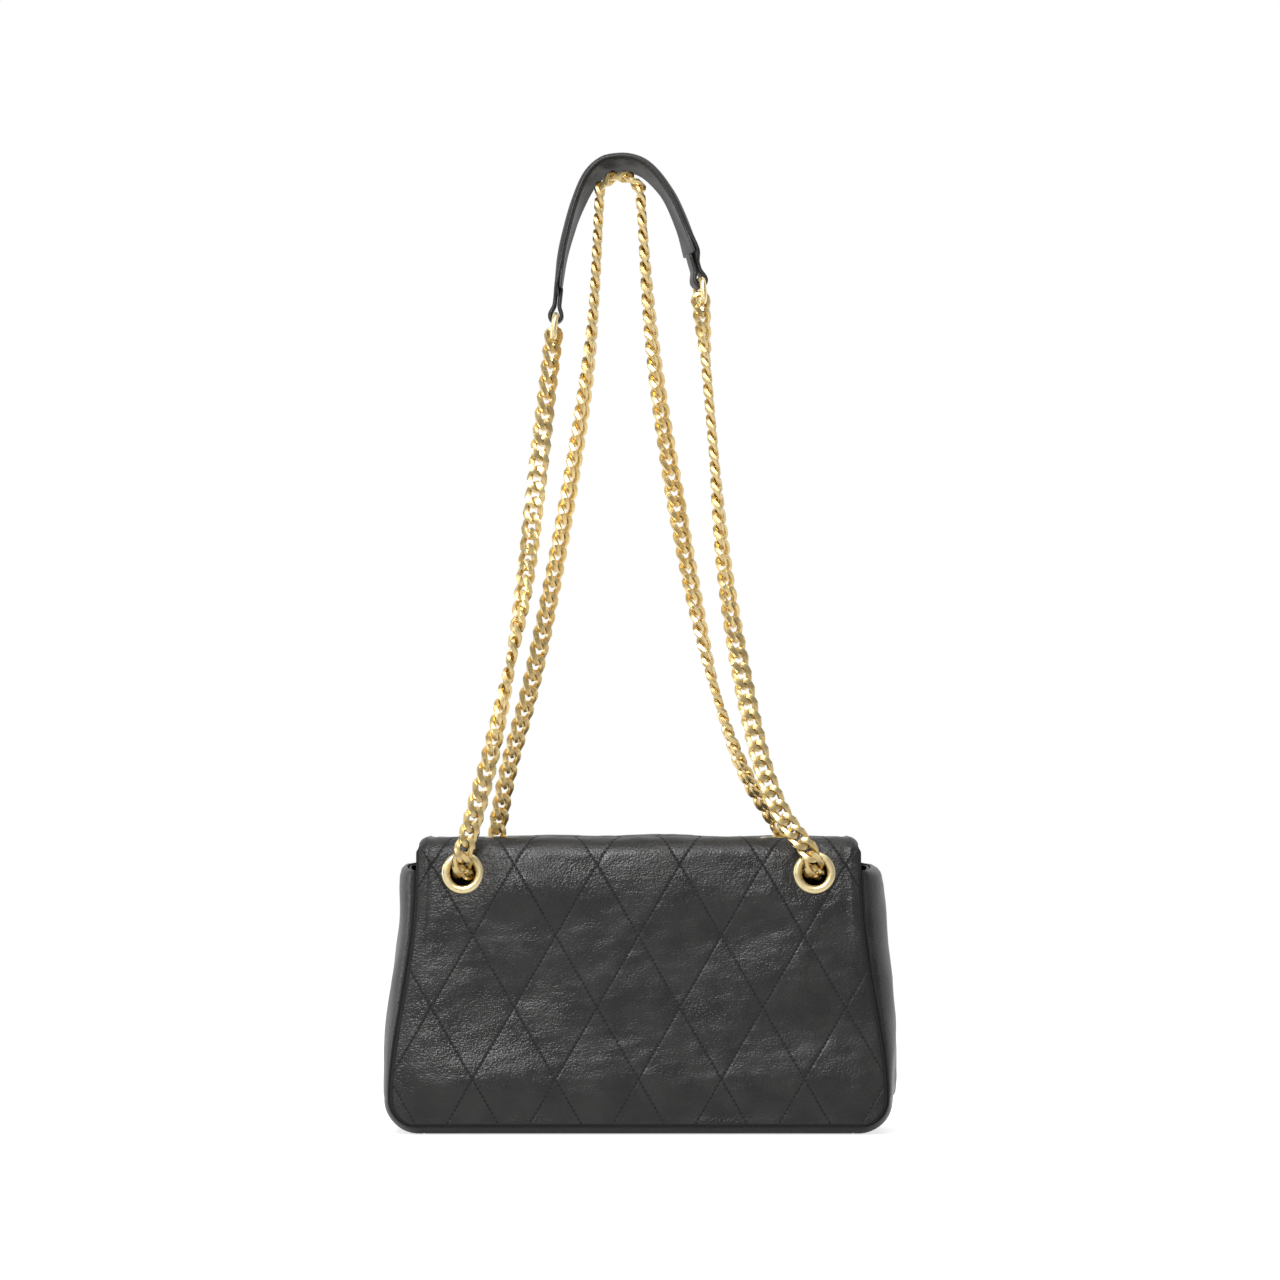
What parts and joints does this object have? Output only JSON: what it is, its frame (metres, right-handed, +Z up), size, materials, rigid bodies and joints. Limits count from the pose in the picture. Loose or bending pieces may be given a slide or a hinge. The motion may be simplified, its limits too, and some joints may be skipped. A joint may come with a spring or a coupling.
{
  "type": "quilted shoulder bag",
  "caption": "Flap shoulder bag in quilted leather with gussets, lining, metal eyelets and a doubled curb-chain strap that carries a leather shoulder pad.",
  "frame": {"origin": "the point that holds the strap, in the middle of the chain where it passes over a hook under the shoulder pad", "axes": "+Z up, +Y towards the flap at the front, -Y towards the quilted back with two of the eyelets, +X to the right as the back is looked at"},
  "size_m": [0.248, 0.0775, 0.4776],
  "materials": {
    "black_leather": "glossy, pebbled and slightly wrinkled",
    "gold_metal": "polished pale gold plating",
    "steel_washer": "plain",
    "lining_fabric": "plain woven",
    "base_board": "plain"
  },
  "bodies": {
    "bag": {"back_panel": "black_leather", "base_board": "base_board", "base_panel": "black_leather", "chain_front": "gold_metal", "chain_inner_left": "gold_metal", "chain_inner_right": "gold_metal", "chain_rear_left": "gold_metal", "chain_rear_right": "gold_metal", "eyelet_back_left": "gold_metal", "eyelet_back_right": "gold_metal", "eyelet_top_left": "gold_metal", "eyelet_top_right": "gold_metal", "eyelet_washer_back_left": "steel_washer", "eyelet_washer_back_right": "steel_washer", "eyelet_washer_top_left": "steel_washer", "eyelet_washer_top_right": "steel_washer", "front_facing": "black_leather", "front_panel": "black_leather", "gusset_facing_left": "black_leather", "gusset_facing_right": "black_leather", "gusset_left": "black_leather", "gusset_right": "black_leather", "lining": "lining_fabric", "pad_outer": "black_leather", "pad_ring_left": "gold_metal", "pad_ring_right": "gold_metal", "pad_under": "black_leather", "snap_socket": "gold_metal", "snap_socket_washer": "steel_washer", "top_facing": "black_leather"},
    "flap": {"flap_leaf": "black_leather", "flap_lining": "black_leather", "snap_stud": "gold_metal", "snap_stud_washer": "steel_washer"}
  },
  "joints": [
    {"name": "flap_lift", "type": "hinge", "parent": "bag", "child": "flap", "pos_m": [0.0091, 0.011, -0.3199], "axis": [1, 0, 0], "range_deg": [0, 120]}
  ]
}
